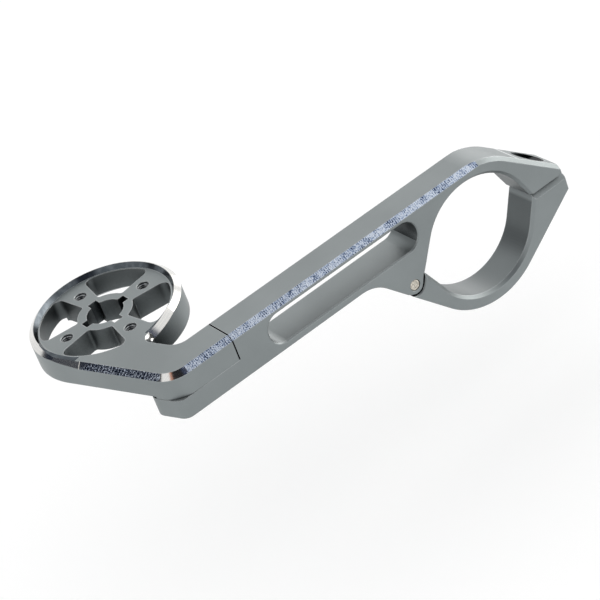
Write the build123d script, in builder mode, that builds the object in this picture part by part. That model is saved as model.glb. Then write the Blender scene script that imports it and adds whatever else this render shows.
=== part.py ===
from build123d import *
import math
import os

os.makedirs("parts", exist_ok=True)

# Bar that the clamp goes round, with its axis along Y and its centre at the origin
bar_r = 15.9
wall = 3.5
outer_r = bar_r + wall

# Arm: width across Y, level top and bottom, and the end that meets the head
width = 10.72
half_w = width / 2
arm_h = 12.75
top_z = outer_r
bottom_z = top_z - arm_h
seam_x = 73.2
seam_gap = 0.2
arm_end_x = seam_x - seam_gap
bright_cut = 1.35
plain_cut = 1.0
edge_break = 0.45
bore_break = 0.8
mouth_flat = 0.2
mouth_land = 0.12

# Slot through the arm
slot_web = 1.0
slot_end = 9.5
slot_floor = 2.2
slot_roof = 2.3
slot_x0 = bar_r + slot_web
slot_x1 = seam_x - slot_end
slot_z0 = bottom_z + slot_floor
slot_z1 = top_z - slot_roof
slot_r = 3.9
slot_break = 0.3

# Straight flanks of the clamp, as angles of their normals about the bar, and the sloping nose
front_flank = -42.0
flank_out = 0.35
flank_d = outer_r + flank_out
rear_flank = 235.9
under_r = 9.0
nose_slope = 39.5
nose_wall = 0.9
nose_d = outer_r + nose_wall
nose_r = 19.0

# Split between the two jaws, and the straight mouth of the bore beside it
jaw_z = 1.1
jaw_gap = 0.4
strap_z = jaw_z - jaw_gap
arm_mouth_front = 32.0
arm_mouth_rear = 155.4
strap_mouth_front = -28.0
strap_mouth_rear = 205.7

# Hinge, with its pin just inside the line of the front flank
pin_z = -0.27
pin_r = 1.5
pin_inset = 2.56
pin_recess = 0.1
press_gap = 0.005
pin_gap = 0.05
pin_round = 0.3
ear_wall = 0.9
ear_r = pin_r + ear_wall
relief_gap = 0.72
relief_r = ear_r + relief_gap
ear_side = 2.48
knuckle_w = 4.0
knuckle_gap = 0.15
neck_half = 2.1
neck_length = 4.0
block_break = 1.5
block_rear_break = 0.5
strap_break = 0.3
skin_x = 0.23
skin_z = 0.29

# Clamp screw, M4 with a low head, upright through both jaws
bolt_reach = 6.6
bolt_x = -(bar_r + bolt_reach)
bolt_r = 1.9
bolt_head_r = 3.5
bolt_head_h = 2.8
bolt_length = 8.0
bolt_floor = 1.4
bolt_seat_z = jaw_z + bolt_floor
bolt_head_gap = 0.2
bolt_bore_r = bolt_head_r + bolt_head_gap
bolt_pass_r = 2.25
bolt_thread_gap = 0.15
bolt_key = 2.5
bolt_key_depth = 1.7
bolt_lead = 0.7
bolt_tip_break = 0.6
bolt_head_break = 0.3
jaw_rear = 5.0
jaw_rear_x = bolt_x - jaw_rear
block_step = 0.8
block_rear_x = jaw_rear_x - block_step

# Head: round carrier plate, diagonal web and the block over the tongue
ring_x = 84.72
ring_y = -33.86
ring_r = 19.7
head_t = 7.03
head_z = top_z - head_t
plate_t = 6.2
plate_z = top_z - plate_t
rim_t = 5.35
rim_z = top_z - rim_t
rim_r0 = 16.0
rim_land = 0.15
skirt = 0.4
web_angle = 20.3
web_w = 12.65
web_rear = ring_r - web_w
corner_r = 7.0
tongue_r = 3.0
inside_r = 3.0
notch_r = 1.2
lip_foot_r = ring_r - 2.3
lip_crest_r = ring_r - 1.5
lip_flat = 0.15
lip_h = 1.23
lip_end = 90.0
lip_sink = 0.5
near_low = 35.0
near_high = -8.0
far_low = 92.0
far_high = 117.0
ramp_rise = 0.15
ramp_tilt = 8.9
ramp_sweep = 32.0
tick_run = 5.5
ring_break = 0.6

# Plate openings
window_rim = 2.7
window_r0 = 7.2
window_r1 = ring_r - window_rim
spoke_half0 = 2.4
spoke_half1 = 4.0
window_fillet_out = 1.9
window_fillet_in = 0.8
hub_r = 4.8
hub_key_w = 2.55
hub_key_r = 6.4
tap_r = 1.5
tap_pcd = 23.5
tap_lead = 0.15

# Screws that hold the head on the tongue, M3 countersunk, from below
screw_r = 1.475
screw_hole_gap = 0.025
screw_head_r = 2.8
screw_head_h = 1.7
screw_length = 8.0
screw_key = 2.0
screw_key_depth = 1.1
screw_pitch = 8.0
screw_end = 7.2
screw_hole_depth = 1.2
screw_sunk = 0.1
cone_slope = (screw_head_r - screw_r) / (screw_head_h - screw_sunk)
screw_taper = math.degrees(math.atan(cone_slope))


def on_circle(r, deg, x=0.0, z=0.0):
    a = math.radians(deg)
    return (x + r * math.cos(a), z + r * math.sin(a))


def line_x(r, deg, z):
    a = math.radians(deg)
    return (r - z * math.sin(a)) / math.cos(a)


def line_z(r, deg, x):
    a = math.radians(deg)
    return (r - x * math.cos(a)) / math.sin(a)


def flank_shift(deg):
    a = math.radians(deg)
    return skin_x * math.cos(a) + skin_z * math.sin(a)


def tangent_from(point, r, side):
    dx = point[0] - pin_x
    dz = point[1] - pin_z
    turn = math.degrees(math.acos(r / math.hypot(dx, dz)))
    return math.degrees(math.atan2(dz, dx)) + side * turn


def line_x_at(y):
    a = math.radians(web_angle)
    return ring_x + (ring_r - (y - ring_y) * math.sin(a)) / math.cos(a)


def under_edge(e):
    c = e.center()
    tongue = abs(c.Z - bottom_z) < 1e-4 and c.X > arm_end_x
    side = abs(abs(c.Y) - half_w) < 1e-4 and c.X > pin_x + 3 and c.Z < bottom_z + 0.1
    return tongue or side


def outer_edge(e):
    c = e.center()
    side = abs(abs(c.Y) - half_w) < 1e-4
    return side and math.hypot(c.X, c.Z) > bar_r + 2.2 and c.Z < pin_z - 2.2


def ray(deg):
    return Vector(math.cos(math.radians(deg)), math.sin(math.radians(deg)), 0)


def across(deg):
    return Vector(math.sin(math.radians(deg)), -math.cos(math.radians(deg)), 0)


def slot_edge(e):
    c = e.center()
    inside = slot_x0 - 0.1 < c.X < slot_x1 + 0.1 and slot_z0 - 0.1 < c.Z < slot_z1 + 0.1
    return inside and abs(abs(c.Y) - half_w) < 1e-4


# Side view points that both clamp halves share
pin_x = line_x(outer_r - pin_inset, front_flank, pin_z)
nose_normal = 90.0 + nose_slope
nose_x = line_x(nose_d, nose_normal, top_z)
mouth_corner = (line_x(bar_r + bore_break, arm_mouth_front, jaw_z) + mouth_land, jaw_z)
pin_depth = pin_inset + flank_out
ear_start = (pin_x + ear_side, line_z(flank_d, front_flank, pin_x + ear_side))
ear_left_deg = tangent_from(mouth_corner, ear_r, 1)
ear_right_deg = 360.0 + tangent_from(ear_start, ear_r, -1)
under_x = line_x(flank_d, front_flank, bottom_z)
shoulder_deg = front_flank - math.degrees(math.acos(pin_depth / relief_r))

# The strap's outer skin is one arc, a little off the bar's centre, between the two flanks
skin_r = flank_d - flank_shift(front_flank)
rear_d = skin_r + flank_shift(rear_flank)

# Plan points of the block's two corners, where the web turns off
web_turn = math.radians(web_angle)
corner_y = half_w - corner_r
corner_x = ring_x + (ring_r - corner_r - (corner_y - ring_y) * math.sin(web_turn)) / math.cos(web_turn)
inside_y = -half_w - inside_r
inside_x = ring_x + (web_rear - inside_r - (inside_y - ring_y) * math.sin(web_turn)) / math.cos(web_turn)
screw_x1 = line_x_at(0) - screw_end
screw_x0 = screw_x1 - screw_pitch

# Bevelled ends of the upper bore, cut from both faces of the arm
edge_r = bar_r + bore_break
foot_z = jaw_z - mouth_flat
with BuildPart() as arm_bore_break:
    for r, y in ((edge_r, half_w), (bar_r, half_w - bore_break)):
        with BuildSketch(Plane.XZ.offset(-y)):
            with BuildLine():
                arc_rear = on_circle(r, arm_mouth_rear)
                arc_front = on_circle(r, arm_mouth_front)
                foot_rear = (line_x(r, arm_mouth_rear, foot_z), foot_z)
                foot_front = (line_x(r, arm_mouth_front, foot_z), foot_z)
                ThreePointArc(arc_rear, (0, r), arc_front)
                Polyline(arc_front, foot_front, foot_rear, arc_rear)
            make_face()
    loft(ruled=True)
    mirror(about=Plane.XZ)

# Arm: upper clamp half, slotted bar and the tongue under the head, milled from one bar
with BuildPart() as arm:
    with BuildSketch(Plane.XZ) as arm_side:
        with BuildLine():
            Polyline((arm_end_x, bottom_z), (arm_end_x, top_z), (nose_x, top_z))
            nose_end = (jaw_rear_x, line_z(nose_d, nose_normal, jaw_rear_x))
            rear_mouth = (line_x(bar_r, arm_mouth_rear, jaw_z), jaw_z)
            Polyline((nose_x, top_z), nose_end, (jaw_rear_x, jaw_z), rear_mouth)
            Line(rear_mouth, on_circle(bar_r, arm_mouth_rear))
            ThreePointArc(on_circle(bar_r, arm_mouth_rear), (0, bar_r), on_circle(bar_r, arm_mouth_front))
            front_mouth = (line_x(bar_r, arm_mouth_front, jaw_z), jaw_z)
            ear_left = on_circle(ear_r, ear_left_deg, pin_x, pin_z)
            Polyline(on_circle(bar_r, arm_mouth_front), front_mouth, mouth_corner, ear_left)
            ear_mid = on_circle(ear_r, (ear_left_deg + ear_right_deg) / 2, pin_x, pin_z)
            ear_right = on_circle(ear_r, ear_right_deg, pin_x, pin_z)
            ThreePointArc(ear_left, ear_mid, ear_right)
            Polyline(ear_right, ear_start, (under_x, bottom_z), (arm_end_x, bottom_z))
        make_face()
        fillet(arm_side.vertices().sort_by_distance((nose_x, top_z, 0))[0], nose_r)
        fillet(arm_side.vertices().sort_by_distance((under_x, bottom_z, 0))[0], under_r)
    extrude(amount=half_w, both=True)
    # Plain break along the sloping nose and the level top
    nose_dir = Vector(-math.sin(math.radians(nose_slope)), 0, math.cos(math.radians(nose_slope)))
    nose_face = arm.faces().filter_by(lambda f: f.normal_at().dot(nose_dir) > 0.999).sort_by(Axis.X)[0]
    top_face = arm.faces().filter_by(Axis.Z).sort_by(Axis.Z)[-1]
    blend_face = arm.faces().filter_by(GeomType.CYLINDER).sort_by_distance((nose_x + 1, 0, top_z))[0]
    upper_faces = [nose_face, top_face, blend_face]
    upper_edges = [e for f in upper_faces for e in f.edges() if abs(abs(e.center().Y) - half_w) < 1e-4]
    chamfer(upper_edges, plain_cut)
    # Break along both edges of the bore and its mouth
    add(arm_bore_break.part, mode=Mode.SUBTRACT)
    # Tongue that carries the head
    with BuildSketch(Plane.XY.offset(bottom_z)) as tongue_plan:
        with BuildLine():
            Polyline(
                (arm_end_x, -half_w),
                (line_x_at(-half_w), -half_w),
                (line_x_at(half_w), half_w),
                (arm_end_x, half_w),
                close=True,
            )
        make_face()
        fillet(tongue_plan.vertices().sort_by(Axis.X)[-2:], tongue_r)
    extrude(amount=head_z - bottom_z)
    # Edge break along the underside, round the tongue and down the front flank
    chamfer(arm.edges().filter_by(lambda e: under_edge(e)), edge_break)
    # Slot through the arm
    with BuildSketch(Plane.XZ):
        with Locations(((slot_x0 + slot_x1) / 2, (slot_z0 + slot_z1) / 2)):
            RectangleRounded(slot_x1 - slot_x0, slot_z1 - slot_z0, slot_r)
    extrude(amount=width, both=True, mode=Mode.SUBTRACT)
    slot_edges = arm.edges().filter_by(lambda e: slot_edge(e))
    chamfer(slot_edges, slot_break)
    # Bright bevel along both long top edges, cut level so that it runs out on the nose
    with BuildSketch(Plane.YZ.offset(arm_end_x + 1)):
        for side in (-1, 1):
            with BuildLine():
                Polyline(
                    (side * (half_w + 1), top_z - bright_cut - 1),
                    (side * (half_w + 1), top_z + 1),
                    (side * (half_w - bright_cut - 1), top_z + 1),
                    close=True,
                )
            make_face()
    extrude(amount=-(arm_end_x + 16), mode=Mode.SUBTRACT)
    # Fork for the strap's knuckle, and the pin bore through both ears
    with BuildSketch(Plane.XZ):
        with Locations((pin_x, pin_z)):
            Circle(relief_r)
    extrude(amount=knuckle_w / 2 + knuckle_gap, both=True, mode=Mode.SUBTRACT)
    with BuildSketch(Plane.XZ):
        with Locations((pin_x, pin_z)):
            Circle(pin_r + press_gap)
    extrude(amount=width, both=True, mode=Mode.SUBTRACT)
    # Counterbore and clearance hole of the clamp screw
    with BuildSketch(Plane.XY.offset(bolt_seat_z)):
        with Locations((bolt_x, 0)):
            Circle(bolt_bore_r)
    extrude(amount=top_z, mode=Mode.SUBTRACT)
    with BuildSketch(Plane.XY):
        with Locations((bolt_x, 0)):
            Circle(bolt_pass_r)
    extrude(amount=top_z, mode=Mode.SUBTRACT)
    # Countersunk holes in the tongue's underside
    with Locations(Plane.XY.offset(bottom_z)):
        with Locations((screw_x0, 0), (screw_x1, 0)):
            Cone(
                screw_head_r + screw_hole_gap + screw_sunk * cone_slope,
                screw_r + screw_hole_gap,
                screw_head_h,
                align=(Align.CENTER, Align.CENTER, Align.MIN),
                mode=Mode.SUBTRACT,
            )
            Cylinder(
                screw_r + screw_hole_gap,
                head_z,
                align=(Align.CENTER, Align.CENTER, Align.MIN),
                mode=Mode.SUBTRACT,
            )
arm.part.label = "arm"
export_step(arm.part, "parts/arm.step")

# Strap: lower clamp half with the hinge knuckle and the tapped block
with BuildPart() as strap_bore_break:
    for r, y in ((edge_r, half_w), (bar_r, half_w - bore_break)):
        with BuildSketch(Plane.XZ.offset(-y)):
            with BuildLine():
                lip_z = strap_z + mouth_flat
                low_rear = on_circle(r, strap_mouth_rear)
                low_front = on_circle(r, strap_mouth_front)
                head_rear = (line_x(r, strap_mouth_rear, lip_z), lip_z)
                head_front = (line_x(r, strap_mouth_front, lip_z), lip_z)
                ThreePointArc(low_rear, (0, -r), low_front)
                Polyline(low_front, head_front, head_rear, low_rear)
            make_face()
    loft(ruled=True)
    mirror(about=Plane.XZ)

with BuildPart() as strap:
    with BuildSketch(Plane.XZ):
        with BuildLine():
            inner_front = on_circle(bar_r, strap_mouth_front)
            inner_rear = on_circle(bar_r, strap_mouth_rear)
            outer_front = on_circle(skin_r, front_flank, skin_x, skin_z)
            outer_rear = on_circle(skin_r, rear_flank, skin_x, skin_z)
            shoulder = on_circle(relief_r, shoulder_deg, pin_x, pin_z)
            slant = on_circle(relief_r, ear_left_deg, pin_x, pin_z)
            slant_run = math.tan(math.radians(ear_left_deg - 90.0))
            slant_top = (slant[0] + (strap_z - slant[1]) / slant_run, strap_z)
            mouth_front = (line_x(bar_r, strap_mouth_front, strap_z), strap_z)
            mouth_rear = (line_x(bar_r, strap_mouth_rear, strap_z), strap_z)
            block_foot = (block_rear_x, line_z(rear_d, rear_flank, block_rear_x))
            shoulder_mid = on_circle(relief_r, (ear_left_deg + shoulder_deg + 360.0) / 2, pin_x, pin_z)
            ThreePointArc(inner_rear, (0, -bar_r), inner_front)
            Polyline(inner_front, mouth_front, slant_top, slant)
            ThreePointArc(slant, shoulder_mid, shoulder)
            Line(shoulder, outer_front)
            ThreePointArc(outer_front, (skin_x, skin_z - skin_r), outer_rear)
            Polyline(outer_rear, block_foot, (block_rear_x, strap_z), mouth_rear, inner_rear)
        make_face()
    extrude(amount=half_w, both=True)
    # Breaks round the top of the block and along the outer edges
    block_top = strap.faces().filter_by(Axis.Z).sort_by(Axis.X)[0]
    chamfer(block_top.edges().filter_by(lambda e: abs(e.center().Y) > half_w - 0.1), block_break)
    block_top = strap.faces().filter_by(Axis.Z).sort_by(Axis.X)[0]
    chamfer(block_top.edges().sort_by(Axis.X)[0], block_rear_break)
    outer_edges = strap.edges().filter_by(lambda e: outer_edge(e))
    chamfer(outer_edges, strap_break)
    add(strap_bore_break.part, mode=Mode.SUBTRACT)
    # Knuckle between the ears, joined by a neck
    with BuildSketch(Plane.XZ):
        with Locations((pin_x, pin_z)):
            Circle(ear_r)
            with Locations(Location((0, 0), front_flank - 90.0)):
                Rectangle(neck_length, 2 * neck_half, align=(Align.MIN, Align.CENTER))
    extrude(amount=knuckle_w / 2, both=True)
    with BuildSketch(Plane.XZ):
        with Locations((pin_x, pin_z)):
            Circle(pin_r + pin_gap)
    extrude(amount=width, both=True, mode=Mode.SUBTRACT)
    # Tapped hole of the clamp screw, drawn as its plain bore, with a lead-in
    with BuildSketch(Plane.XY.offset(strap_z)):
        with Locations((bolt_x, 0)):
            Circle(bolt_r + bolt_thread_gap)
    extrude(amount=-outer_r, mode=Mode.SUBTRACT)
    with BuildSketch(Plane.XY.offset(strap_z)):
        with Locations((bolt_x, 0)):
            Circle(bolt_r + bolt_thread_gap + bolt_lead)
    extrude(amount=-bolt_lead, taper=45, mode=Mode.SUBTRACT)
strap.part.label = "strap"
export_step(strap.part, "parts/strap.step")

# Hinge pin, pressed into both ears, with its rounded ends just below the arm's sides
with BuildPart() as hinge_pin:
    with BuildSketch(Plane.XZ):
        with Locations((pin_x, pin_z)):
            Circle(pin_r)
    extrude(amount=half_w - pin_recess, both=True)
    fillet(hinge_pin.edges(), pin_round)
hinge_pin.part.label = "hinge_pin"
export_step(hinge_pin.part, "parts/hinge_pin.step")

# Clamp screw: low cylindrical head with a hexagon socket, shank down into the block
with BuildPart() as clamp_bolt:
    with BuildSketch(Plane.XY.offset(bolt_seat_z)):
        with Locations((bolt_x, 0)):
            Circle(bolt_head_r)
    extrude(amount=bolt_head_h)
    chamfer(clamp_bolt.edges().group_by(Axis.Z)[-1], bolt_head_break)
    with BuildSketch(Plane.XY.offset(bolt_seat_z)):
        with Locations((bolt_x, 0)):
            Circle(bolt_r)
    extrude(amount=-bolt_length)
    chamfer(clamp_bolt.edges().group_by(Axis.Z)[0], bolt_tip_break)
    with BuildSketch(Plane.XY.offset(bolt_seat_z + bolt_head_h)):
        with Locations((bolt_x, 0)):
            RegularPolygon(bolt_key / 2, 6, major_radius=False)
    extrude(amount=-bolt_key_depth, mode=Mode.SUBTRACT)
clamp_bolt.part.label = "clamp_bolt"
export_step(clamp_bolt.part, "parts/clamp_bolt.step")

# Raised lip round the free part of the carrier ring, running out onto the web
web_dir = Vector(math.cos(math.radians(web_angle)), math.sin(math.radians(web_angle)), 0)
web_run = Vector(-web_dir.Y, web_dir.X, 0)
ring_centre = Vector(ring_x, ring_y, 0)
lip_sweep = 360.0 - lip_end + near_low
with BuildPart() as lip:
    with BuildSketch(Plane(origin=(ring_x, ring_y, top_z), x_dir=ray(lip_end), z_dir=across(lip_end))):
        with BuildLine():
            Polyline(
                (lip_foot_r - lip_sink, -lip_sink),
                (lip_foot_r, 0),
                (lip_crest_r, lip_h),
                (lip_crest_r + lip_flat, lip_h),
                (ring_r, 0),
                (ring_r, -lip_sink),
                close=True,
            )
        make_face()
    revolve(axis=Axis((ring_x, ring_y, 0), (0, 0, 1)), revolution_arc=lip_sweep)
    for low_deg, high_deg in ((near_low, near_high), (far_low, far_high)):
        high = ring_centre + ray(high_deg) * lip_crest_r
        low = ring_centre + ray(low_deg) * lip_crest_r
        run = (low - high).normalized()
        reach = (low - high).length
        with BuildSketch(Plane(origin=high, x_dir=run, z_dir=run.cross(Vector(0, 0, 1)))):
            with BuildLine():
                Polyline(
                    (0, top_z + lip_h),
                    (reach, top_z),
                    (1.3 * reach, top_z),
                    (1.3 * reach, top_z + 2 * lip_h),
                    (0, top_z + 2 * lip_h),
                    close=True,
                )
            make_face()
        extrude(amount=ring_r / 4, both=True, mode=Mode.SUBTRACT)

# Outline of one window, drawn about the middle of the ring
with BuildSketch() as window:
    with BuildLine():
        half0 = math.degrees(math.asin(spoke_half0 / window_r0))
        half1 = math.degrees(math.asin(spoke_half1 / window_r1))
        Line(on_circle(window_r0, half0), on_circle(window_r1, half1))
        ThreePointArc(
            on_circle(window_r1, half1),
            on_circle(window_r1, 45),
            on_circle(window_r1, 90 - half1),
        )
        Line(on_circle(window_r1, 90 - half1), on_circle(window_r0, 90 - half0))
        ThreePointArc(
            on_circle(window_r0, 90 - half0),
            on_circle(window_r0, 45),
            on_circle(window_r0, half0),
        )
    make_face()
    fillet(window.vertices().filter_by(lambda v: math.hypot(v.X, v.Y) > 12), window_fillet_out)
    fillet(window.vertices().filter_by(lambda v: math.hypot(v.X, v.Y) < 8), window_fillet_in)

# Head: carrier plate, web and block, milled in one piece
with BuildPart() as head:
    with BuildSketch(Plane.XY.offset(head_z)):
        with Locations((ring_x, ring_y)):
            Circle(ring_r)
    extrude(amount=head_t)
    with BuildSketch(Plane.XY.offset(head_z)) as head_plan:
        with BuildLine():
            web_foot = ring_centre + web_dir * ring_r
            web_back = ring_centre + web_dir * web_rear
            inside = web_back + web_run * ((-half_w - web_back.Y) / web_run.Y)
            notch_half = math.degrees(math.acos((web_rear - notch_r) / (ring_r + notch_r)))
            notch_deg = web_angle + notch_half
            notch_turn = ring_centre + ray(notch_deg) * (ring_r + notch_r)
            notch_wall = notch_turn + web_dir * notch_r
            notch_ring = ring_centre + ray(notch_deg) * ring_r
            notch_mid = notch_turn - (ray(notch_deg) - web_dir).normalized() * notch_r
            Polyline(
                (seam_x, -half_w),
                (inside.X, inside.Y),
                (notch_wall.X, notch_wall.Y),
            )
            ThreePointArc(notch_wall, notch_mid, notch_ring)
            Polyline(
                (notch_ring.X, notch_ring.Y),
                (ring_x, ring_y),
                (web_foot.X, web_foot.Y),
                (line_x_at(half_w), half_w),
                (seam_x, half_w),
                (seam_x, -half_w),
            )
        make_face()
        fillet(head_plan.vertices().sort_by_distance((line_x_at(half_w), half_w, 0))[0], corner_r)
        fillet(head_plan.vertices().sort_by_distance((inside.X, inside.Y, 0))[0], inside_r)
    extrude(amount=top_z - head_z)
    add(lip.part)
    # Break along the bottom edge: down the front of the web and round the ring to the notch
    inner_turn = Vector(inside_x, inside_y, 0)
    with BuildLine() as bottom_path:
        tongue_run = tongue_r * math.tan(math.radians(90.0 + web_angle) / 2)
        bottom_a = Vector(line_x_at(-half_w), -half_w, head_z) + web_run * tongue_run
        bottom_b = web_foot + Vector(0, 0, head_z)
        bottom_c = notch_ring + Vector(0, 0, head_z)
        Line(bottom_a, bottom_b)
        far_ring = ring_centre + ray((web_angle + notch_deg) / 2 + 180.0) * ring_r
        ThreePointArc(bottom_b, far_ring + Vector(0, 0, head_z), bottom_c)
    with BuildSketch(Plane(origin=bottom_a, x_dir=web_dir, z_dir=web_run * -1)):
        with BuildLine():
            Polyline((1, ring_break + 1), (1, -1), (-ring_break - 1, -1), close=True)
        make_face()
    sweep(path=bottom_path.wires()[0], mode=Mode.SUBTRACT)
    # Round recess turned under the plate, deeper at the rim, with a sloping inner wall
    with BuildSketch(Plane(origin=ring_centre, x_dir=(1, 0, 0), z_dir=(0, -1, 0))):
        with BuildLine():
            Polyline(
                (0, head_z - 1),
                (0, plate_z),
                (rim_r0, plate_z),
                (rim_r0, rim_z),
                (window_r1 + rim_land, rim_z),
                (ring_r - skirt, head_z),
                (ring_r - skirt, head_z - 1),
                close=True,
            )
        make_face()
    revolve(axis=Axis((ring_x, ring_y, 0), (0, 0, 1)), mode=Mode.SUBTRACT)
    # Bright bevel round the block and web: near side, round the corner, down the front
    with BuildLine() as near_path:
        near_a = (seam_x - 1, half_w, top_z)
        near_b = (corner_x, half_w, top_z)
        near_c = Vector(corner_x, corner_y, top_z) + web_dir * corner_r
        tick = ring_centre + web_dir * ring_r + web_run * tick_run + Vector(0, 0, top_z)
        corner_point = Vector(corner_x, corner_y, top_z) + ray(45.0 + web_angle / 2) * corner_r
        Line(near_a, near_b)
        ThreePointArc(near_b, corner_point, near_c)
        Line(near_c, tick)
    with BuildSketch(Plane(origin=near_a, x_dir=(0, 1, 0), z_dir=(1, 0, 0))):
        with BuildLine():
            Polyline((1, -bright_cut - 1), (1, 1), (-bright_cut - 1, 1), close=True)
        make_face()
    sweep(path=near_path.wires()[0], mode=Mode.SUBTRACT)
    # The bevel climbs from the front edge onto the ring
    ramp_dir = (web_run * -1 + Vector(0, 0, ramp_rise)).normalized()
    with BuildSketch(Plane(origin=tick, x_dir=web_dir, z_dir=web_run * -1)):
        with BuildLine():
            Polyline((1, -bright_cut - 1), (1, 1.6), (-bright_cut - 1.6, 1.6), close=True)
        make_face()
    extrude(amount=ring_r / 2, dir=ramp_dir, mode=Mode.SUBTRACT)
    # Bright bevel along the far side, the inside corner, the rear of the web and round the notch
    with BuildLine() as far_path:
        lift = Vector(0, 0, top_z)
        far_a = Vector(seam_x - 1, -half_w, top_z)
        far_b = Vector(inside_x, -half_w, top_z)
        far_c = inner_turn + web_dir * inside_r + lift
        far_mid = inner_turn + ray(45.0 + web_angle / 2) * inside_r + lift
        Line(far_a, far_b)
        ThreePointArc(far_b, far_mid, far_c)
        Line(far_c, notch_wall + lift)
        ThreePointArc(notch_wall + lift, notch_mid + lift, notch_ring + lift)
    with BuildSketch(Plane(origin=far_a, x_dir=(0, 1, 0), z_dir=(1, 0, 0))):
        with BuildLine():
            Polyline((-1, -bright_cut - 1), (-1, 1), (bright_cut + 1, 1), close=True)
        make_face()
    sweep(path=far_path.wires()[0], mode=Mode.SUBTRACT)
    # It climbs on along the ring from the notch until it meets the lip's own slope
    tilt = math.radians(ramp_tilt)
    climb_axis = across(notch_deg) * math.sin(tilt) + Vector(0, 0, math.cos(tilt))
    climb_dir = ray(notch_deg).cross(climb_axis)
    with BuildSketch(Plane(origin=ring_centre + lift, x_dir=ray(notch_deg), z_dir=climb_dir)):
        with BuildLine():
            Polyline(
                (ring_r + 1, -bright_cut - 1),
                (ring_r + 1, 1.6),
                (ring_r - bright_cut - 1.6, 1.6),
                close=True,
            )
        make_face()
    revolve(axis=Axis(ring_centre + lift, climb_axis), revolution_arc=ramp_sweep, mode=Mode.SUBTRACT)
    # Four windows between the spokes
    with BuildSketch(Plane.XY.offset(head_z)):
        with Locations((ring_x, ring_y)):
            with PolarLocations(0, 4):
                add(window.sketch)
    extrude(amount=top_z - head_z, mode=Mode.SUBTRACT)
    # Hub opening with its four key notches
    with BuildSketch(Plane.XY.offset(head_z)):
        with Locations((ring_x, ring_y)):
            Circle(hub_r)
            Rectangle(2 * hub_key_r, hub_key_w)
            Rectangle(hub_key_w, 2 * hub_key_r)
    extrude(amount=top_z - head_z, mode=Mode.SUBTRACT)
    # Four tapped holes on a circle, drawn as plain bores with a small lead-in
    with Locations(Plane.XY.offset(top_z)):
        with Locations((ring_x, ring_y)):
            with PolarLocations(tap_pcd / 2, 4):
                CounterSinkHole(tap_r, tap_r + tap_lead, depth=top_z - head_z, counter_sink_angle=90)
    # Blind holes over the tongue for the two screws from below
    with BuildSketch(Plane.XY.offset(head_z)):
        with Locations((screw_x0, 0), (screw_x1, 0)):
            Circle(screw_r + screw_hole_gap)
    extrude(amount=bottom_z + screw_length + screw_hole_depth - head_z, mode=Mode.SUBTRACT)
head.part.label = "head"
export_step(head.part, "parts/head.step")

# Countersunk screws up through the tongue into the head, with hexagon sockets
with BuildPart() as head_screws:
    for screw_x in (screw_x0, screw_x1):
        with BuildSketch(Plane.XY.offset(bottom_z + screw_sunk)):
            with Locations((screw_x, 0)):
                Circle(screw_head_r)
        extrude(amount=screw_head_h - screw_sunk, taper=screw_taper)
        with BuildSketch(Plane.XY.offset(bottom_z + screw_sunk)):
            with Locations((screw_x, 0)):
                Circle(screw_r)
        extrude(amount=screw_length - screw_sunk)
        with BuildSketch(Plane.XY.offset(bottom_z + screw_sunk)):
            with Locations((screw_x, 0)):
                RegularPolygon(screw_key / 2, 6, major_radius=False)
        extrude(amount=screw_key_depth, mode=Mode.SUBTRACT)
head_screws.part.label = "head_screws"
export_step(head_screws.part, "parts/head_screws.step")
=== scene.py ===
import bmesh
import bpy
import math
from mathutils import Matrix, Vector


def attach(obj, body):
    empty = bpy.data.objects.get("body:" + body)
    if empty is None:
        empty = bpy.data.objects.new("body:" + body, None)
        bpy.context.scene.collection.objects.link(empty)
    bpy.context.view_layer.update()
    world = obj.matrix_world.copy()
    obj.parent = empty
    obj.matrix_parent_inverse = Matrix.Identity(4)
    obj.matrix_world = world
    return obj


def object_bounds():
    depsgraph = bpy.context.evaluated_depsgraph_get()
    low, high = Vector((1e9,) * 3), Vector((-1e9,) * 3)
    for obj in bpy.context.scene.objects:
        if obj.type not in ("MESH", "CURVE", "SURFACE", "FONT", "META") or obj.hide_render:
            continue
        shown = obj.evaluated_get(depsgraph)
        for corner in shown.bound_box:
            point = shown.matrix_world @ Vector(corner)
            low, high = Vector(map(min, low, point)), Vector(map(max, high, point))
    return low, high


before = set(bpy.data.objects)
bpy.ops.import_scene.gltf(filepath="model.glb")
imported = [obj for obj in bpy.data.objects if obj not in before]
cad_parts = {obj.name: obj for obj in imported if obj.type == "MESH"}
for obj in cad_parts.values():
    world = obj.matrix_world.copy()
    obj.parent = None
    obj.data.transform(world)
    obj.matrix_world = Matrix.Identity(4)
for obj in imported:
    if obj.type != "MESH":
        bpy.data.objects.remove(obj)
cad_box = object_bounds()

# The arm is the upper clamp half, the slotted bar and the tongue in one piece of aluminium.
# It is milled from bar, blasted with fine glass beads, anodised grey, and then its two long
# top edges are cut bright, which bares the metal in a speckled bevel.


def linear(code):
    """A colour code of the screen (sRGB) as the linear light that the shaders take."""
    parts = [int(code[i : i + 2], 16) / 255.0 for i in (1, 3, 5)]
    light = [p / 12.92 if p <= 0.04045 else ((p + 0.055) / 1.055) ** 2.4 for p in parts]
    return tuple(light) + (1.0,)


def add_node(tree, kind, settings=None, links=None):
    node = tree.nodes.new(kind)
    for name, value in (settings or {}).items():
        if isinstance(name, str) and hasattr(node, name):
            setattr(node, name, value)
        else:
            node.inputs[name].default_value = value
    for name, source in (links or {}).items():
        tree.links.new(source, node.inputs[name])
    return node


def ramp_stops(node, stops):
    ramp = node.color_ramp
    while len(ramp.elements) > 1:
        ramp.elements.remove(ramp.elements[-1])
    ramp.elements[0].position = stops[0][0]
    ramp.elements[0].color = stops[0][1]
    for place, colour in stops[1:]:
        ramp.elements.new(place).color = colour


def dress(node, material):
    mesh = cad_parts[node].data
    mesh.materials.clear()
    mesh.materials.append(material)


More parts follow.
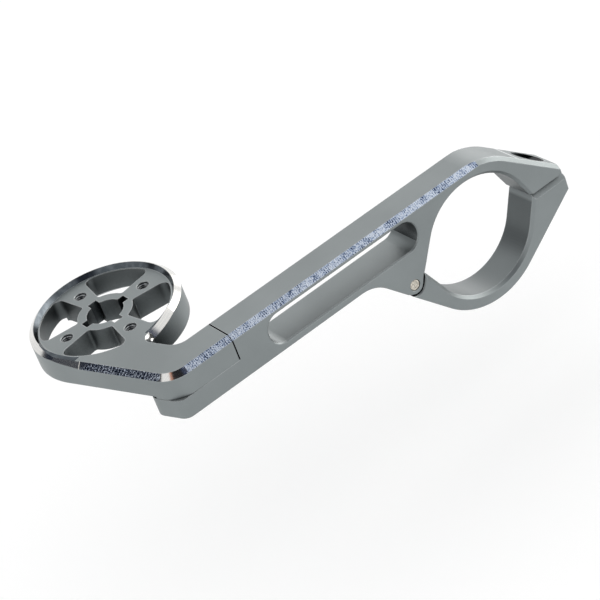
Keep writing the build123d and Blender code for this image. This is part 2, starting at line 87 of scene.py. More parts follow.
# Lengths are in metres, and slants, leans and facings are parts of a face's unit normal
blast_grain = 0.00022
blast_depth = 0.000012
skin_dark = linear("#828889")
skin_light = linear("#8a9091")
# Painted shade: the dark colour that shut-in walls and the bore are darkened towards
skin_painted_shade = linear("#24282a")
# Painted highlight: the light colour that upward edges and the lap ledge are lightened towards
skin_painted_highlight = linear("#c6cacb")
clouds_per_metre = 60.0
worn_edge = 0.00016
wall_reach = 0.014
wall_shut_in = 0.38
wall_open = 0.97
level_from = 0.6
bore_wall = 0.0170
bore_wall_end = 0.0173
# Shares of painted shade on the bore's walls, at the sides and at the rear
bore_painted_shade = 0.27
bore_painted_shade_rear = 0.52
rear_from = 0.45
rear_full = 0.95
side_lean = 0.1
# Radius, limits and share of the painted highlight along upward edges
highlight_edge = 0.0005
highlight_from = 0.972
highlight_full = 0.90
highlight_share = 0.6
upward_from = 0.2
upward_full = 0.6
lap_level = 0.0123
lap_band = 0.0003


def blasted_skin(tree, place):
    """Bead blasting scatters the light evenly, and the anodic film dims it to a flat mid grey.

    Walls shut in by the part take a painted shade, a darker colour where ambient occlusion
    finds them, most of all the clamp's bore at the rear. Upward edges and the ledge at the lap
    joint take a painted highlight, a lighter colour.
    """
    grain = add_node(
        tree, "ShaderNodeTexNoise", {"Scale": 1.0 / blast_grain, "Detail": 2.0}, {"Vector": place}
    )
    cloud = add_node(
        tree, "ShaderNodeTexNoise", {"Scale": clouds_per_metre, "Detail": 3.0}, {"Vector": place}
    )
    tone = add_node(tree, "ShaderNodeValToRGB", None, {"Fac": cloud.outputs["Fac"]})
    ramp_stops(tone, ((0.3, skin_dark), (0.7, skin_light)))
    # Painted shade: the colour darkens where ambient occlusion finds a wall shut in; level faces
    # are spared
    enclosed = add_node(
        tree, "ShaderNodeAmbientOcclusion", {"samples": 12, "Distance": wall_reach}
    )
    openness = add_node(
        tree,
        "ShaderNodeMapRange",
        {"interpolation_type": "SMOOTHSTEP", "From Min": wall_shut_in, "From Max": wall_open},
        {"Value": enclosed.outputs["AO"]},
    )
    facing = add_node(tree, "ShaderNodeNewGeometry").outputs["True Normal"]
    facing_parts = add_node(tree, "ShaderNodeSeparateXYZ", None, {"Vector": facing})
    level = add_node(
        tree,
        "ShaderNodeMath",
        {"operation": "GREATER_THAN", 1: level_from},
        {0: facing_parts.outputs["Z"]},
    )
    unshaded = add_node(
        tree,
        "ShaderNodeMath",
        {"operation": "MAXIMUM"},
        {0: openness.outputs["Result"], 1: level.outputs["Value"]},
    )
    tone_and_painted_light = add_node(
        tree,
        "ShaderNodeMix",
        {"data_type": "RGBA", 6: skin_painted_shade},
        {0: unshaded.outputs["Value"], 7: tone.outputs["Color"]},
    )
    # Painted shade: the bore's walls are darkened further, most towards the rear
    off_bar = add_node(
        tree, "ShaderNodeVectorMath", {"operation": "MULTIPLY", 1: (1.0, 0.0, 1.0)}, {0: place}
    )
    off_bar = add_node(
        tree, "ShaderNodeVectorMath", {"operation": "LENGTH"}, {0: off_bar.outputs["Vector"]}
    )
    bored = add_node(
        tree,
        "ShaderNodeMapRange",
        {"From Min": bore_wall, "From Max": bore_wall_end, "To Min": 1.0, "To Max": 0.0},
        {"Value": off_bar.outputs["Value"]},
    )
    rear_wall = add_node(
        tree,
        "ShaderNodeMapRange",
        {
            "interpolation_type": "SMOOTHSTEP",
            "From Min": rear_from,
            "From Max": rear_full,
            "To Min": bore_painted_shade,
            "To Max": bore_painted_shade_rear,
        },
        {"Value": facing_parts.outputs["X"]},
    )
    across = add_node(
        tree,
        "ShaderNodeMath",
        {"operation": "COMPARE", 1: 0.0, 2: side_lean},
        {0: facing_parts.outputs["Y"]},
    )
    bored = bored.outputs["Result"]
    for limit in (rear_wall.outputs["Result"], across.outputs["Value"]):
        bored = add_node(
            tree, "ShaderNodeMath", {"operation": "MULTIPLY"}, {0: bored, 1: limit}
        ).outputs["Value"]
    tone_and_painted_light = add_node(
        tree,
        "ShaderNodeMix",
        {"data_type": "RGBA", 7: skin_painted_shade},
        {0: bored, 6: tone_and_painted_light.outputs[2]},
    )
    # Painted highlight: edges that face upward are lightened where the light catches them
    softened = add_node(
        tree, "ShaderNodeBevel", {"samples": 4, "Radius": highlight_edge}
    ).outputs["Normal"]
    turned_off = add_node(
        tree, "ShaderNodeVectorMath", {"operation": "DOT_PRODUCT"}, {0: softened, 1: facing}
    )
    at_edge = add_node(
        tree,
        "ShaderNodeMapRange",
        {"From Min": highlight_from, "From Max": highlight_full, "To Max": highlight_share},
        {"Value": turned_off.outputs["Value"]},
    )
    softened_parts = add_node(tree, "ShaderNodeSeparateXYZ", None, {"Vector": softened})
    upward = add_node(
        tree,
        "ShaderNodeMapRange",
        {"From Min": upward_from, "From Max": upward_full},
        {"Value": softened_parts.outputs["Z"]},
    )
    painted_highlight = add_node(
        tree,
        "ShaderNodeMath",
        {"operation": "MULTIPLY"},
        {0: at_edge.outputs["Result"], 1: upward.outputs["Result"]},
    )
    # Painted light: the level ledge at the lap joint is lightened the same way, over its real
    # darker reflection
    place_parts = add_node(tree, "ShaderNodeSeparateXYZ", None, {"Vector": place})
    ledge = add_node(
        tree,
        "ShaderNodeMath",
        {"operation": "COMPARE", 1: lap_level, 2: lap_band},
        {0: place_parts.outputs["Z"]},
    )
    ledge = add_node(
        tree,
        "ShaderNodeMath",
        {"operation": "MULTIPLY"},
        {0: ledge.outputs["Value"], 1: level.outputs["Value"]},
    )
    painted_highlight = add_node(
        tree,
        "ShaderNodeMath",
        {"operation": "MAXIMUM"},
        {0: painted_highlight.outputs["Value"], 1: ledge.outputs["Value"]},
    )
    tone_and_painted_light = add_node(
        tree,
        "ShaderNodeMix",
        {"data_type": "RGBA", 7: skin_painted_highlight},
        {0: painted_highlight.outputs["Value"], 6: tone_and_painted_light.outputs[2]},
    )
    rounded = add_node(tree, "ShaderNodeBevel", {"samples": 4, "Radius": worn_edge})
    bump = add_node(
        tree,
        "ShaderNodeBump",
        {"Strength": 0.35, "Distance": blast_depth},
        {"Height": grain.outputs["Fac"], "Normal": rounded.outputs["Normal"]},
    )
    rough = add_node(
        tree,
        "ShaderNodeMapRange",
        {"To Min": 0.40, "To Max": 0.50},
        {"Value": grain.outputs["Fac"]},
    )
    return add_node(
        tree,
        "ShaderNodeBsdfPrincipled",
        {"Metallic": 1.0},
        {
            "Base Color": tone_and_painted_light.outputs[2],
            "Roughness": rough.outputs["Result"],
            "Normal": bump.outputs["Normal"],
        },
    ).outputs["BSDF"]


cutter_step = 0.00028
cut_patch = 0.0022
step_share = 0.17
patch_share = 0.55
torn_from = 0.53
torn_full = 0.77
smooth_cut = 0.10
torn_cut = 0.42
cut_depth = 0.00004
# Painted reflection: bare metal coloured blue-white, blue and navy as if mirroring the room
cut_reflection_white = linear("#d3dce9")
cut_reflection_blue = linear("#98a9c4")
cut_reflection_navy = linear("#3b4660")


def milled_bevel(tree, place):
    """The bevel's cutter leaves fine steps across it, which mirror now the light, now the dark;
    its colour also paints that reflection in as blue-white and navy speckle.
    """
    steps = add_node(
        tree,
        "ShaderNodeTexWave",
        {
            "bands_direction": "DIAGONAL",
            "Scale": math.tau / (20.0 * cutter_step),
            "Distortion": 5.0,
            "Detail": 2.0,
            "Detail Scale": 1.6,
        },
        {"Vector": place},
    )
    scallop = add_node(
        tree,
        "ShaderNodeTexNoise",
        {"Scale": 1.0 / cutter_step, "Detail": 2.0, "Distortion": 0.2},
        {"Vector": place},
    )
    patch = add_node(
        tree, "ShaderNodeTexNoise", {"Scale": 1.0 / cut_patch, "Detail": 1.0}, {"Vector": place}
    )
    fine = add_node(
        tree,
        "ShaderNodeMath",
        {"operation": "MULTIPLY_ADD", 1: step_share},
        {0: steps.outputs["Fac"], 2: scallop.outputs["Fac"]},
    )
    mixed = add_node(
        tree,
        "ShaderNodeMath",
        {"operation": "MULTIPLY_ADD", 1: patch_share},
        {0: patch.outputs["Fac"], 2: fine.outputs["Value"]},
    )
    # Painted reflection: the speckle's colour runs from navy through blue to blue-white
    tone = add_node(tree, "ShaderNodeValToRGB", None, {"Fac": mixed.outputs["Value"]})
    ramp_stops(tone, ((0.67, cut_reflection_navy), (0.78, cut_reflection_blue), (0.93, cut_reflection_white)))
    bump = add_node(
        tree,
        "ShaderNodeBump",
        {"Strength": 0.6, "Distance": cut_depth},
        {"Height": fine.outputs["Value"]},
    )
    torn = add_node(
        tree,
        "ShaderNodeMapRange",
        {"From Min": torn_from, "From Max": torn_full, "To Min": smooth_cut, "To Max": torn_cut},
        {"Value": fine.outputs["Value"]},
    )
    return add_node(
        tree,
        "ShaderNodeBsdfPrincipled",
        {"Metallic": 1.0},
        {
            "Base Color": tone.outputs["Color"],
            "Roughness": torn.outputs["Result"],
            "Normal": bump.outputs["Normal"],
        },
    ).outputs["BSDF"]


seam_x = 0.0731
seam_half_width = 0.00019
seam_foot = 0.0124
lap_top = 0.013
wall_lean = 0.5
bar_far_side = -0.0056
gap_dark = linear("#101214")
breaks_per_metre = 130.0
corner_from = 0.080
corner_full = 0.087
faint_gap = 0.12
open_gap = 0.9


def joint_line(tree, place, skin, level, half_width):
    """Where two pieces meet flush, their broken edges leave a hairline gap that holds the dark.

    It runs round the bar's seam, and level along the lap, where it opens towards the corner.
    The limits keep it off the ring, which the same planes cross, and off the tongue's ledge.
    """
    parts = add_node(tree, "ShaderNodeSeparateXYZ", None, {"Vector": place})
    at_level = add_node(
        tree,
        "ShaderNodeMath",
        {"operation": "COMPARE", 1: level, 2: half_width},
        {0: parts.outputs["Z"]},
    )
    on_tongue = add_node(
        tree, "ShaderNodeMath", {"operation": "GREATER_THAN", 1: seam_x}, {0: parts.outputs["X"]}
    )
    broken = add_node(
        tree, "ShaderNodeTexNoise", {"Scale": breaks_per_metre, "Detail": 2.0}, {"Vector": place}
    )
    to_corner = add_node(
        tree,
        "ShaderNodeMapRange",
        {
            "interpolation_type": "SMOOTHSTEP",
            "From Min": corner_from,
            "From Max": corner_full,
            "To Min": faint_gap,
            "To Max": open_gap,
        },
        {"Value": parts.outputs["X"]},
    )
    strength = add_node(
        tree,
        "ShaderNodeMath",
        {"operation": "MULTIPLY"},
        {0: broken.outputs["Fac"], 1: to_corner.outputs["Result"]},
    )
    line = add_node(
        tree,
        "ShaderNodeMath",
        {"operation": "MULTIPLY"},
        {0: at_level.outputs["Value"], 1: on_tongue.outputs["Value"]},
    )
    line = add_node(
        tree,
        "ShaderNodeMath",
        {"operation": "MULTIPLY"},
        {0: line.outputs["Value"], 1: strength.outputs["Value"]},
    )
    upright = add_node(
        tree,
        "ShaderNodeMath",
        {"operation": "COMPARE", 1: seam_x, 2: seam_half_width},
        {0: parts.outputs["X"]},
    )
    above = add_node(
        tree,
        "ShaderNodeMath",
        {"operation": "GREATER_THAN", 1: seam_foot},
        {0: parts.outputs["Z"]},
    )
    upright = add_node(
        tree,
        "ShaderNodeMath",
        {"operation": "MULTIPLY"},
        {0: upright.outputs["Value"], 1: above.outputs["Value"]},
    )
    line = add_node(
        tree,
        "ShaderNodeMath",
        {"operation": "MAXIMUM"},
        {0: line.outputs["Value"], 1: upright.outputs["Value"]},
    )
    on_bar = add_node(
        tree,
        "ShaderNodeMath",
        {"operation": "GREATER_THAN", 1: bar_far_side},
        {0: parts.outputs["Y"]},
    )
    facing = add_node(tree, "ShaderNodeNewGeometry").outputs["True Normal"]
    facing_parts = add_node(tree, "ShaderNodeSeparateXYZ", None, {"Vector": facing})
    raised_face = add_node(
        tree, "ShaderNodeMath", {"operation": "GREATER_THAN", 1: lap_top}, {0: parts.outputs["Z"]}
    )
    wall = add_node(
        tree,
        "ShaderNodeMath",
        {"operation": "LESS_THAN", 1: wall_lean},
        {0: facing_parts.outputs["Z"]},
    )
    wall = add_node(
        tree,
        "ShaderNodeMath",
        {"operation": "MAXIMUM"},
        {0: wall.outputs["Value"], 1: raised_face.outputs["Value"]},
    )
    line = line.outputs["Value"]
    for limit in (on_bar.outputs["Value"], wall.outputs["Value"]):
        line = add_node(
            tree, "ShaderNodeMath", {"operation": "MULTIPLY"}, {0: line, 1: limit}
        ).outputs["Value"]
    dark = add_node(tree, "ShaderNodeBsdfDiffuse", {"Color": gap_dark})
    return add_node(
        tree, "ShaderNodeMixShader", None, {0: line, 1: skin, 2: dark.outputs["BSDF"]}
    ).outputs["Shader"]


bevel_slant = math.sqrt(0.5)
bevel_margin = 0.01
bevel_foot = 0.01795
arm_lap_line = 0.01229
arm_lap_half_width = 0.00005


def blasted_anodised_arm(name):
    """The blasted skin, with bare milled metal on the long bevels and the joint's dark line."""
    material = bpy.data.materials.new(name)
    material.use_nodes = True
    tree = material.node_tree
    tree.nodes.clear()
    place = add_node(tree, "ShaderNodeTexCoord").outputs["Object"]
    facing = add_node(tree, "ShaderNodeNewGeometry").outputs["True Normal"]
    facing_parts = add_node(tree, "ShaderNodeSeparateXYZ", None, {"Vector": facing})
    place_parts = add_node(tree, "ShaderNodeSeparateXYZ", None, {"Vector": place})
    slanted = add_node(
        tree,
        "ShaderNodeMath",
        {"operation": "COMPARE", 1: bevel_slant, 2: bevel_margin},
        {0: facing_parts.outputs["Z"]},
    )
    high = add_node(
        tree,
        "ShaderNodeMath",
        {"operation": "GREATER_THAN", 1: bevel_foot},
        {0: place_parts.outputs["Z"]},
    )
    bevel = add_node(
        tree,
        "ShaderNodeMath",
        {"operation": "MULTIPLY"},
        {0: slanted.outputs["Value"], 1: high.outputs["Value"]},
    )
    skin = joint_line(tree, place, blasted_skin(tree, place), arm_lap_line, arm_lap_half_width)
    both = add_node(
        tree,
        "ShaderNodeMixShader",
        None,
        {0: bevel.outputs["Value"], 1: skin, 2: milled_bevel(tree, place)},
    )
    out = add_node(tree, "ShaderNodeOutputMaterial")
    tree.links.new(both.outputs["Shader"], out.inputs["Surface"])
    return material


dress("arm", blasted_anodised_arm("bead_blasted_anodised_aluminium_arm"))

# The head is the round carrier plate with its web and block, milled in one piece and given
# the arm's finish. The straight bevels are milled bright like the arm's, and the slopes of
# the raised lip are turned bright, so that they are smooth and mirror the room.
ring_centre = (0.08472, -0.03386, 0.0)
web_angle = math.radians(20.3)
web_run = Vector((-math.sin(web_angle), math.cos(web_angle), 0.0))
turning_step = 0.00009
turning_depth = 0.000004
dark_patches_per_metre = 700.0
lip_bright = linear("#e9e7e2")
lip_grey = linear("#cfd0d0")
# Painted dark reflection of the lip's inner slope, also given to the run-outs, lighter in patches
lip_painted_dark = linear("#4c5257")
lip_painted_dark_patch = linear("#5f656a")


def turned_lip(tree, place, radius, painted_dark):
    """A fine turning tool leaves close rings, so smooth that the slope mirrors the room.

    The inner slope and the two run-outs are given a darker colour, lighter in patches; on the
    inner slope it is a painted dark reflection.
    """
    rings = add_node(tree, "ShaderNodeCombineXYZ", None, {"X": radius})
    marks = add_node(
        tree,
        "ShaderNodeTexNoise",
        {"Scale": 1.0 / turning_step, "Detail": 1.0},
        {"Vector": rings.outputs["Vector"]},
    )
    tone = add_node(tree, "ShaderNodeValToRGB", None, {"Fac": marks.outputs["Fac"]})
    ramp_stops(tone, ((0.35, lip_grey), (0.65, lip_bright)))
    # Painted reflection: the inner slope and the run-outs take a dark colour, lighter in patches
    dark_patches = add_node(
        tree, "ShaderNodeTexNoise", {"Scale": dark_patches_per_metre, "Detail": 2.0}, {"Vector": place}
    )
    film = add_node(tree, "ShaderNodeValToRGB", None, {"Fac": dark_patches.outputs["Fac"]})
    ramp_stops(film, ((0.42, lip_painted_dark), (0.68, lip_painted_dark_patch)))
    tone = add_node(
        tree,
        "ShaderNodeMix",
        {"data_type": "RGBA"},
        {0: painted_dark, 6: tone.outputs["Color"], 7: film.outputs["Color"]},
    )
    bump = add_node(
        tree,
        "ShaderNodeBump",
        {"Strength": 0.15, "Distance": turning_depth},
        {"Height": marks.outputs["Fac"]},
    )
    return add_node(
        tree,
        "ShaderNodeBsdfPrincipled",
        {"Metallic": 1.0, "Roughness": 0.15},
        {"Base Color": tone.outputs[2], "Normal": bump.outputs["Normal"]},
    ).outputs["BSDF"]


lip_slant = 0.62
lip_slant_margin = 0.30
lip_foot = 0.01944
lip_inside = 0.0172
inward_lean = -0.002
run_out_slant = 0.99
run_out_margin = 0.0095
ring_edge = 0.0199
ring_clear = 0.0212
corner_facing = 0.34
corner_margin = 0.30
# Place, width, reach and facing of the painted glint on the front bevel
glint_place = 0.0055
glint_half_width = 0.00011
glint_inside = 0.0188
glint_facing = 0.6
head_lap_line = 0.01241
head_lap_half_width = 0.00006


def blasted_anodised_head(name):
    """The blasted skin, with the lip turned, the straight bevels milled and the corner smooth.

    A bright tick across the front bevel is a painted glint, where the straight bevel meets the
    ring's arc.
    """
    material = bpy.data.materials.new(name)
    material.use_nodes = True
    tree = material.node_tree
    tree.nodes.clear()
    place = add_node(tree, "ShaderNodeTexCoord").outputs["Object"]
    facing = add_node(tree, "ShaderNodeNewGeometry").outputs["True Normal"]
    facing_parts = add_node(tree, "ShaderNodeSeparateXYZ", None, {"Vector": facing})
    place_parts = add_node(tree, "ShaderNodeSeparateXYZ", None, {"Vector": place})
    from_centre = add_node(
        tree, "ShaderNodeVectorMath", {"operation": "SUBTRACT", 1: ring_centre}, {0: place}
    )
    level_part = add_node(
        tree,
        "ShaderNodeVectorMath",
        {"operation": "MULTIPLY", 1: (1.0, 1.0, 0.0)},
        {0: from_centre.outputs["Vector"]},
    )
    radius = add_node(
        tree, "ShaderNodeVectorMath", {"operation": "LENGTH"}, {0: level_part.outputs["Vector"]}
    ).outputs["Value"]
    slanted = add_node(
        tree,
        "ShaderNodeMath",
        {"operation": "COMPARE", 1: lip_slant, 2: lip_slant_margin},
        {0: facing_parts.outputs["Z"]},
    )
    high = add_node(
        tree,
        "ShaderNodeMath",
        {"operation": "GREATER_THAN", 1: bevel_foot},
        {0: place_parts.outputs["Z"]},
    )
    sloped = add_node(
        tree,
        "ShaderNodeMath",
        {"operation": "MULTIPLY"},
        {0: slanted.outputs["Value"], 1: high.outputs["Value"]},
    )
    raised = add_node(
        tree,
        "ShaderNodeMath",
        {"operation": "GREATER_THAN", 1: lip_foot},
        {0: place_parts.outputs["Z"]},
    )
    either = add_node(
        tree,
        "ShaderNodeMath",
        {"operation": "MAXIMUM"},
        {0: sloped.outputs["Value"], 1: raised.outputs["Value"]},
    )
    outside = add_node(
        tree, "ShaderNodeMath", {"operation": "GREATER_THAN", 1: lip_inside}, {0: radius}
    )
    bevel = add_node(
        tree,
        "ShaderNodeMath",
        {"operation": "MULTIPLY"},
        {0: either.outputs["Value"], 1: outside.outputs["Value"]},
    )
    # The inward-facing slope and the run-outs take the lip's painted dark colour
    outward = add_node(
        tree,
        "ShaderNodeVectorMath",
        {"operation": "DOT_PRODUCT"},
        {0: facing, 1: level_part.outputs["Vector"]},
    )
    inward = add_node(
        tree,
        "ShaderNodeMath",
        {"operation": "LESS_THAN", 1: inward_lean},
        {0: outward.outputs["Value"]},
    )
    run_out = add_node(
        tree,
        "ShaderNodeMath",
        {"operation": "COMPARE", 1: run_out_slant, 2: run_out_margin},
        {0: facing_parts.outputs["Z"]},
    )
    painted_dark = add_node(
        tree,
        "ShaderNodeMath",
        {"operation": "MAXIMUM"},
        {0: inward.outputs["Value"], 1: run_out.outputs["Value"]},
    ).outputs["Value"]
    off_ring = add_node(
        tree,
        "ShaderNodeMapRange",
        {"interpolation_type": "SMOOTHSTEP", "From Min": ring_edge, "From Max": ring_clear},
        {"Value": radius},
    )
    straight = add_node(
        tree,
        "ShaderNodeMath",
        {"operation": "COMPARE", 1: corner_facing, 2: corner_margin},
        {0: facing_parts.outputs["X"]},
    )
    straight = add_node(
        tree, "ShaderNodeMath", {"operation": "SUBTRACT", 0: 1.0}, {1: straight.outputs["Value"]}
    )
    speckled = add_node(
        tree,
        "ShaderNodeMath",
        {"operation": "MULTIPLY"},
        {0: off_ring.outputs["Result"], 1: straight.outputs["Value"]},
    )
    cut = add_node(
        tree,
        "ShaderNodeMixShader",
        None,
        {
            0: speckled.outputs["Value"],
            1: turned_lip(tree, place, radius, painted_dark),
            2: milled_bevel(tree, place),
        },
    )
    # Painted glint: a bright line across the front bevel where its straight run meets the ring's
    # arc
    along = add_node(
        tree,
        "ShaderNodeVectorMath",
        {"operation": "DOT_PRODUCT", 1: tuple(web_run)},
        {0: from_centre.outputs["Vector"]},
    )
    painted_glint = add_node(
        tree,
        "ShaderNodeMath",
        {"operation": "COMPARE", 1: glint_place, 2: glint_half_width},
        {0: along.outputs["Value"]},
    )
    off_lip = add_node(
        tree, "ShaderNodeMath", {"operation": "GREATER_THAN", 1: glint_inside}, {0: radius}
    )
    on_front = add_node(
        tree,
        "ShaderNodeMath",
        {"operation": "GREATER_THAN", 1: glint_facing},
        {0: facing_parts.outputs["X"]},
    )
    painted_glint = painted_glint.outputs["Value"]
    for limit in (off_lip.outputs["Value"], on_front.outputs["Value"]):
        painted_glint = add_node(
            tree, "ShaderNodeMath", {"operation": "MULTIPLY"}, {0: painted_glint, 1: limit}
        ).outputs["Value"]
    painted_glint_shader = add_node(
        tree,
        "ShaderNodeBsdfPrincipled",
        {"Metallic": 1.0, "Roughness": 0.5, "Base Color": lip_bright},
    )
    cut = add_node(
        tree,
        "ShaderNodeMixShader",
        None,
        {0: painted_glint, 1: cut.outputs["Shader"], 2: painted_glint_shader.outputs["BSDF"]},
    )
    skin = joint_line(tree, place, blasted_skin(tree, place), head_lap_line, head_lap_half_width)
    both = add_node(
        tree,
        "ShaderNodeMixShader",
        None,
        {0: bevel.outputs["Value"], 1: skin, 2: cut.outputs["Shader"]},
    )
    out = add_node(tree, "ShaderNodeOutputMaterial")
    tree.links.new(both.outputs["Shader"], out.inputs["Surface"])
    return material


dress("head", blasted_anodised_head("bead_blasted_anodised_aluminium_head"))

# The plate's four holes are tapped M3 for the screws of the computer's insert. Their thread
# is cut into the plate, so its crests stand in from the bore as a fine spiral ridge.
tap_circle = 0.01175
tap_root = 0.00152
tap_crest = 0.00127
tap_pitch = 0.0005
plate_low = 0.0133
plate_high = 0.01905
per_turn = 28
run_in_turns = 0.5
ridge_foot = 0.42
ridge_crest = 0.06
tap_marks_per_metre = 3000.0


def thread_ridge(name, foot, height, root_r, crest_r, pitch):
    """One closed spiral ridge, whose crest runs in and out over half a turn."""
    mesh = bpy.data.meshes.new(name)
    ridge = bmesh.new()
    steps = int(per_turn * height / pitch)
    rows = []
    for i in range(steps + 1):
        angle = math.tau * i / per_turn
        lift = foot[2] + height * i / steps
        run_in = per_turn * run_in_turns
        fade = min(1.0, i / run_in, (steps - i) / run_in)
        crest = root_r + (crest_r - root_r) * fade
        row = []
        for r, rise in (
            (root_r, -ridge_foot),
            (crest, -ridge_crest),
            (crest, ridge_crest),
            (root_r, ridge_foot),
        ):
            x = foot[0] + r * math.cos(angle)
            y = foot[1] + r * math.sin(angle)
            row.append(ridge.verts.new((x, y, lift + rise * pitch)))
        rows.append(row)
    for low, high in zip(rows, rows[1:]):
        for k in range(4):
            ridge.faces.new((low[k], low[(k + 1) % 4], high[(k + 1) % 4], high[k]))
    ridge.faces.new(rows[0][::-1])
    ridge.faces.new(rows[-1])
    bmesh.ops.recalc_face_normals(ridge, faces=ridge.faces)
    ridge.to_mesh(mesh)
    ridge.free()
    piece = bpy.data.objects.new(name, mesh)
    bpy.context.scene.collection.objects.link(piece)
    return piece


def tapped_aluminium(name):
    """A tap cuts through the anodised skin, so the crests of the thread are bare and bright metal,
    though their colour is darkened as a painted shade of the hole.
    """
    material = bpy.data.materials.new(name)
    material.use_nodes = True
    tree = material.node_tree
    shader = tree.nodes["Principled BSDF"]
    place = add_node(tree, "ShaderNodeTexCoord").outputs["Object"]
    marks = add_node(
        tree,
        "ShaderNodeTexNoise",
        {"Scale": tap_marks_per_metre, "Detail": 2.0},
        {"Vector": place},
    )
    tone = add_node(tree, "ShaderNodeValToRGB", None, {"Fac": marks.outputs["Fac"]})
    # Painted shade: the bare metal's colour is kept dark, for the inside of the hole
    ramp_stops(tone, ((0.35, linear("#6f7376")), (0.65, linear("#a9acae"))))
    tree.links.new(tone.outputs["Color"], shader.inputs["Base Color"])
    shader.inputs["Metallic"].default_value = 1.0
    shader.inputs["Roughness"].default_value = 0.28
    return material


bare_thread = tapped_aluminium("tapped_bare_aluminium")
for quarter in range(4):
    turn = quarter * math.pi / 2
    foot = (
        ring_centre[0] + tap_circle * math.cos(turn),
        ring_centre[1] + tap_circle * math.sin(turn),
        plate_low,
    )
    thread_name = "tapped_thread_%d" % (quarter + 1)
    thread_length = plate_high - plate_low
    tapped = thread_ridge(thread_name, foot, thread_length, tap_root, tap_crest, tap_pitch)
    tapped.data.materials.append(bare_thread)
    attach(tapped, "arm_body")

# The strap is the lower clamp half, milled from the same aluminium and blasted and anodised
# all over, with no bright edge.


def blasted_anodised_strap(name):
    """The blasted skin alone, with its painted shade darkest in the bore."""
    material = bpy.data.materials.new(name)
    material.use_nodes = True
    tree = material.node_tree
    tree.nodes.clear()
    place = add_node(tree, "ShaderNodeTexCoord").outputs["Object"]
    out = add_node(tree, "ShaderNodeOutputMaterial")
    tree.links.new(blasted_skin(tree, place), out.inputs["Surface"])
    return material


dress("strap", blasted_anodised_strap("bead_blasted_anodised_aluminium_strap"))

# The hinge pin is a ground and polished stainless dowel, pressed in, with rounded ends that
# show warm and bright in the ears.
pin_scratch = 0.0004


def polished_stainless_steel(name):
    """Polished steel mirrors the room in warm grey, broken by fine turning marks."""
    material = bpy.data.materials.new(name)
    material.use_nodes = True
    tree = material.node_tree
    shader = tree.nodes["Principled BSDF"]
    place = add_node(tree, "ShaderNodeTexCoord").outputs["Object"]
    marks = add_node(
        tree, "ShaderNodeTexNoise", {"Scale": 1.0 / pin_scratch, "Detail": 2.0}, {"Vector": place}
    )
    tone = add_node(tree, "ShaderNodeValToRGB", None, {"Fac": marks.outputs["Fac"]})
    ramp_stops(tone, ((0.35, linear("#9b968c")), (0.65, linear("#d9d4c8"))))
    rough = add_node(
        tree,
        "ShaderNodeMapRange",
        {"To Min": 0.15, "To Max": 0.3},
        {"Value": marks.outputs["Fac"]},
    )
    tree.links.new(tone.outputs["Color"], shader.inputs["Base Color"])
    tree.links.new(rough.outputs["Result"], shader.inputs["Roughness"])
    shader.inputs["Metallic"].default_value = 1.0
    return material


dress("hinge_pin", polished_stainless_steel("polished_stainless_steel"))

# The clamp screw and the two screws under the head are black oxidised alloy steel, rolled
# and heat treated, with an oily, slightly uneven black skin.
oxide_cloud = 0.0006


def black_oxide_steel(name):
    """Black oxide is a thin dark film on steel, satin where it is oiled and rubbed."""
    material = bpy.data.materials.new(name)
    material.use_nodes = True
    tree = material.node_tree
    shader = tree.nodes["Principled BSDF"]
    place = add_node(tree, "ShaderNodeTexCoord").outputs["Object"]
    film = add_node(
        tree, "ShaderNodeTexNoise", {"Scale": 1.0 / oxide_cloud, "Detail": 3.0}, {"Vector": place}
    )
    tone = add_node(tree, "ShaderNodeValToRGB", None, {"Fac": film.outputs["Fac"]})
    ramp_stops(tone, ((0.35, linear("#1d1e20")), (0.7, linear("#2f3134"))))
    rough = add_node(
        tree,
        "ShaderNodeMapRange",
        {"To Min": 0.28, "To Max": 0.45},
        {"Value": film.outputs["Fac"]},
    )
    tree.links.new(tone.outputs["Color"], shader.inputs["Base Color"])
    tree.links.new(rough.outputs["Result"], shader.inputs["Roughness"])
    shader.inputs["Metallic"].default_value = 0.9
    return material


black_oxide = black_oxide_steel("black_oxide_steel")
dress("clamp_bolt", black_oxide)
dress("head_screws", black_oxide)

# The clamp screw's M4 thread is rolled, so its crests stand a little proud of the shank. It
# shows when the clamp is opened and the screw lifts, and takes the same black oxide.
screw_foot = (-0.0225, 0.0, -0.0048)
screw_thread_length = 0.0058
screw_root = 0.00185
screw_crest = 0.00199
screw_pitch = 0.0007
screw_thread = thread_ridge(
    "clamp_screw_thread", screw_foot, screw_thread_length, screw_root, screw_crest, screw_pitch
)
screw_thread.data.materials.append(black_oxide)
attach(screw_thread, "bolt_body")

# The studio is a white room. What the metal mirrors is white too, except the dark side where
# the camera stands, with a warm card in it, and two dark flags beyond the head. They give the
# bright-cut bevels their blue and black, and the corner its warm band.
world = bpy.data.worlds.new("studio")
bpy.context.scene.world = world
world.use_nodes = True
sky = world.node_tree
sky.nodes.clear()
direction = add_node(sky, "ShaderNodeTexCoord").outputs["Generated"]


def soft_card(towards, inner_deg, outer_deg):
    """A round card with a soft rim, one on its inside and nothing beyond the outer angle."""
    aim = Vector(towards).normalized()
    near = add_node(
        sky, "ShaderNodeVectorMath", {"operation": "DOT_PRODUCT", 1: tuple(aim)}, {0: direction}
    )
    return add_node(
        sky,
        "ShaderNodeMapRange",
        {
            "interpolation_type": "SMOOTHSTEP",
            "From Min": math.cos(math.radians(outer_deg)),
            "From Max": math.cos(math.radians(inner_deg)),
        },
        {"Value": near.outputs["Value"]},
    ).outputs["Result"]


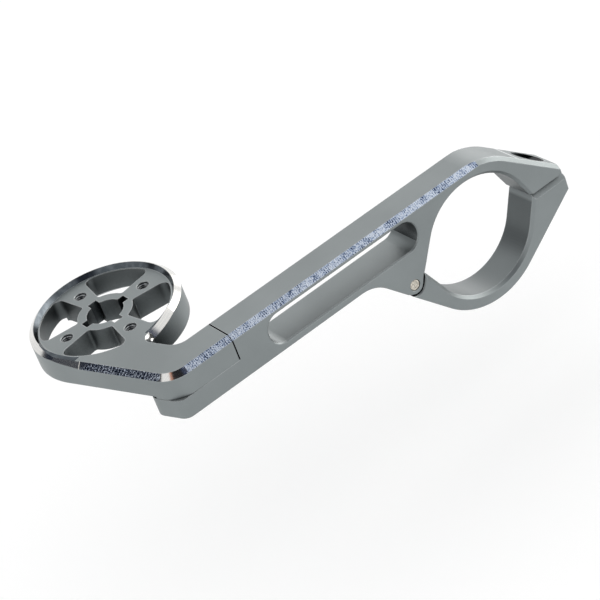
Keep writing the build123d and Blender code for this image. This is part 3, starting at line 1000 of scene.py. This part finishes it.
white = (1.0, 1.0, 1.0, 1.0)
mirrored = add_node(sky, "ShaderNodeRGB").outputs[0]
mirrored.default_value = white
for towards, inner_deg, outer_deg, code in (
    ((0.12, 0.54, 0.83), 22.0, 28.0, "#2a3550"),
    ((0.47, 0.34, 0.815), 5.0, 7.5, "#c98f74"),
    ((0.22, 0.52, 0.83), 15.0, 18.0, "#0c0d12"),
    ((0.68, -0.58, 0.46), 15.0, 19.0, "#1d2433"),
    ((0.725, -0.27, 0.63), 7.0, 9.0, "#1d2433"),
):
    card = soft_card(towards, inner_deg, outer_deg)
    shade = add_node(
        sky, "ShaderNodeMix", {"data_type": "RGBA", 7: linear(code)}, {0: card, 6: mirrored}
    )
    mirrored = shade.outputs[2]
# Two soft lamps stand low beyond the clamp and light the nose and the breaks that face them
for towards, inner_deg, outer_deg, colour in (
    ((-0.96, 0.20, 0.19), 16.0, 34.0, (3.8, 3.7, 3.6, 1.0)),
    ((-0.62, -0.76, 0.06), 15.0, 28.0, (2.5, 2.42, 2.4, 1.0)),
):
    lamp = soft_card(towards, inner_deg, outer_deg)
    shade = add_node(
        sky, "ShaderNodeMix", {"data_type": "RGBA", 7: colour}, {0: lamp, 6: mirrored}
    )
    mirrored = shade.outputs[2]
rays = add_node(sky, "ShaderNodeLightPath")
plain = add_node(sky, "ShaderNodeBackground", {"Color": white, "Strength": 1.0})
glossy = add_node(sky, "ShaderNodeBackground", {"Strength": 1.0}, {"Color": mirrored})
either = add_node(
    sky,
    "ShaderNodeMixShader",
    None,
    {0: rays.outputs["Is Glossy Ray"], 1: plain.outputs[0], 2: glossy.outputs[0]},
)
sky_out = add_node(sky, "ShaderNodeOutputWorld")
sky.links.new(either.outputs["Shader"], sky_out.inputs["Surface"])

# The floor is one wide sheet of matt white paper, some way below the mount, so that it keeps
# only a faint soft shadow.
floor_drop = 0.03
floor_mesh = bpy.data.meshes.new("floor")
reach = 3.0
floor_z = cad_box[0][2] - floor_drop
corners = [
    (-reach, -reach, floor_z),
    (reach, -reach, floor_z),
    (reach, reach, floor_z),
    (-reach, reach, floor_z),
]
floor_mesh.from_pydata(corners, [], [(0, 1, 2, 3)])
floor = bpy.data.objects.new("floor", floor_mesh)
bpy.context.scene.collection.objects.link(floor)
paper_shine = 0.06
paper = bpy.data.materials.new("matt_white_paper")
paper.use_nodes = True
paper_tree = paper.node_tree
paper_tree.nodes.clear()
paper_face = add_node(paper_tree, "ShaderNodeBsdfDiffuse", {"Color": linear("#fdfdfd")})
paper_glow = add_node(paper_tree, "ShaderNodeEmission", {"Color": white, "Strength": paper_shine})
paper_sum = add_node(
    paper_tree, "ShaderNodeAddShader", None, {0: paper_face.outputs[0], 1: paper_glow.outputs[0]}
)
paper_out = add_node(paper_tree, "ShaderNodeOutputMaterial")
paper_tree.links.new(paper_sum.outputs["Shader"], paper_out.inputs["Surface"])
floor_mesh.materials.append(paper)
bpy.context.scene.view_settings.view_transform = "Standard"

# The camera stands where the photograph was taken from: forward of the mount and above it, on
# the side away from the carrier plate, with a long lens that hardly converges.
sensor = 36.0
focal_pixels = 2677.1225
photo_pixels = 600.0
camera_data = bpy.data.cameras.new("camera")
camera_data.sensor_width = sensor
camera_data.lens = sensor * focal_pixels / photo_pixels
camera_data.clip_start = 0.01
camera = bpy.data.objects.new("camera", camera_data)
look_right = Vector((-0.76081561, 0.57404496, -0.30270777))
look_down = Vector((0.54411431, 0.31002959, -0.77962893))
look_forward = Vector((-0.35369369, -0.75786149, -0.54822143))
turn = Matrix((look_right, -look_down, -look_forward)).transposed()
stand = (0.27805501, 0.48768624, 0.36529165)
camera.matrix_world = Matrix.Translation(stand) @ turn.to_4x4()
bpy.context.scene.collection.objects.link(camera)
bpy.context.scene.camera = camera
